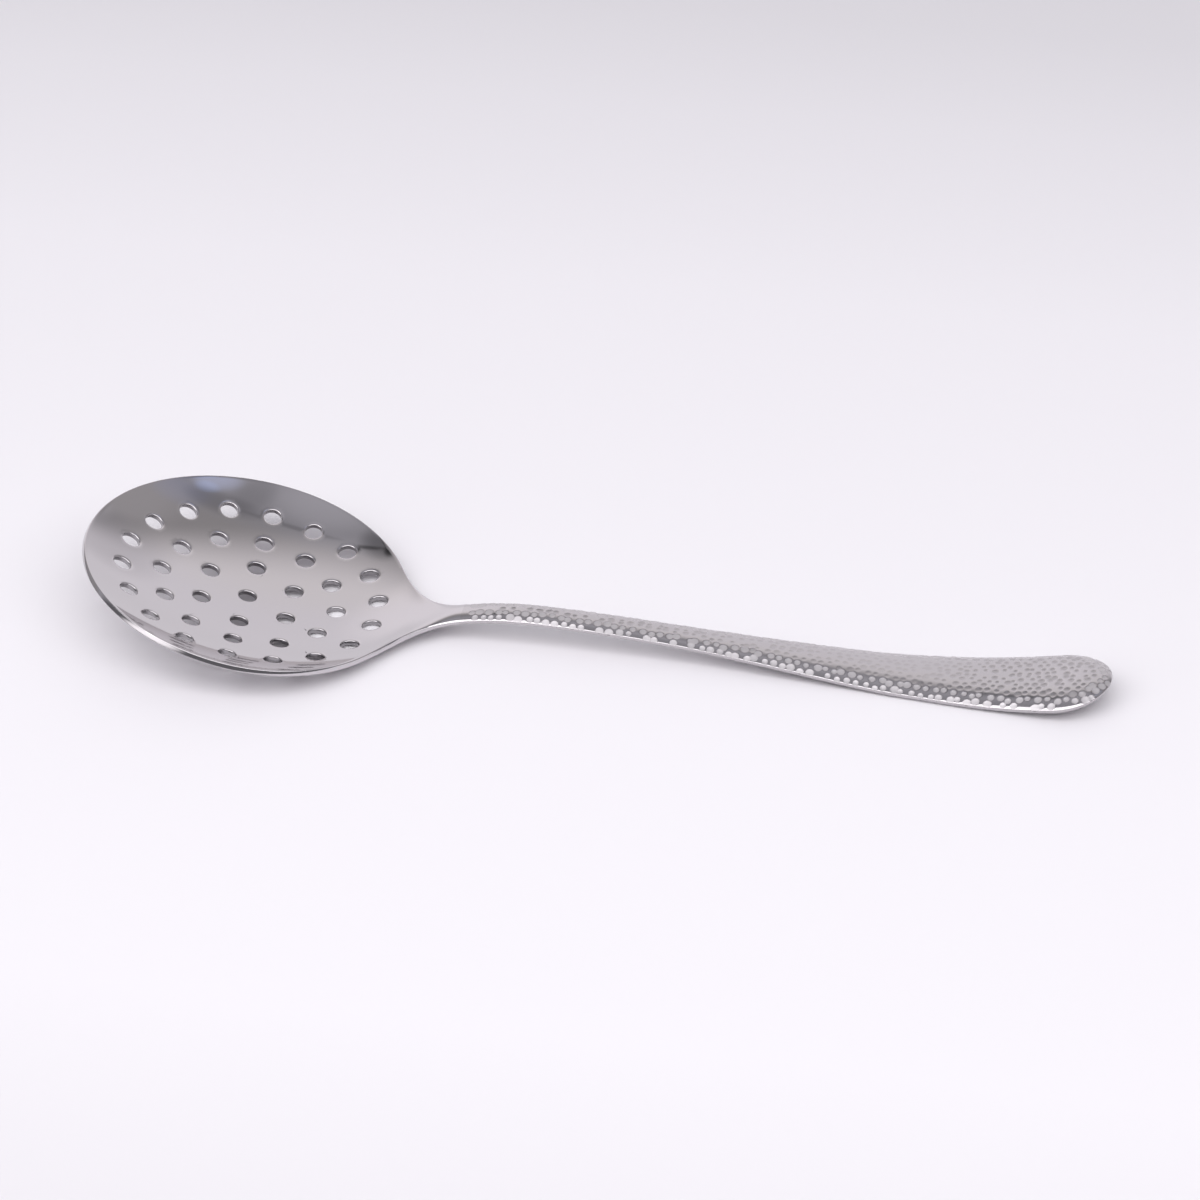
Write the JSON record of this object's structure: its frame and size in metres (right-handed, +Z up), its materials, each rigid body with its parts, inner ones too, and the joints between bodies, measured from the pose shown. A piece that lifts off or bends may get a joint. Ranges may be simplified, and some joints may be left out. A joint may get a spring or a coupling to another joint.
{
  "type": "skimmer",
  "caption": "Kitchen skimmer with a shallow perforated oval bowl, tilted on a narrow flared neck, and a long flat hammered strip handle that arches off the table.",
  "frame": {"origin": "on the table, under the middle of the skimmer's overall box", "axes": "+X along the length towards the handle's tip, +Z up from the table the skimmer lies on, bowl open upwards"},
  "size_m": [0.3024, 0.101, 0.0258],
  "materials": {
    "satin_steel": "satin polish with fine scratches",
    "hammered_steel": "hammered dimples, tumbled polish"
  },
  "bodies": {
    "root": {"bowl": "satin_steel", "handle": "hammered_steel"}
  },
  "joints": []
}
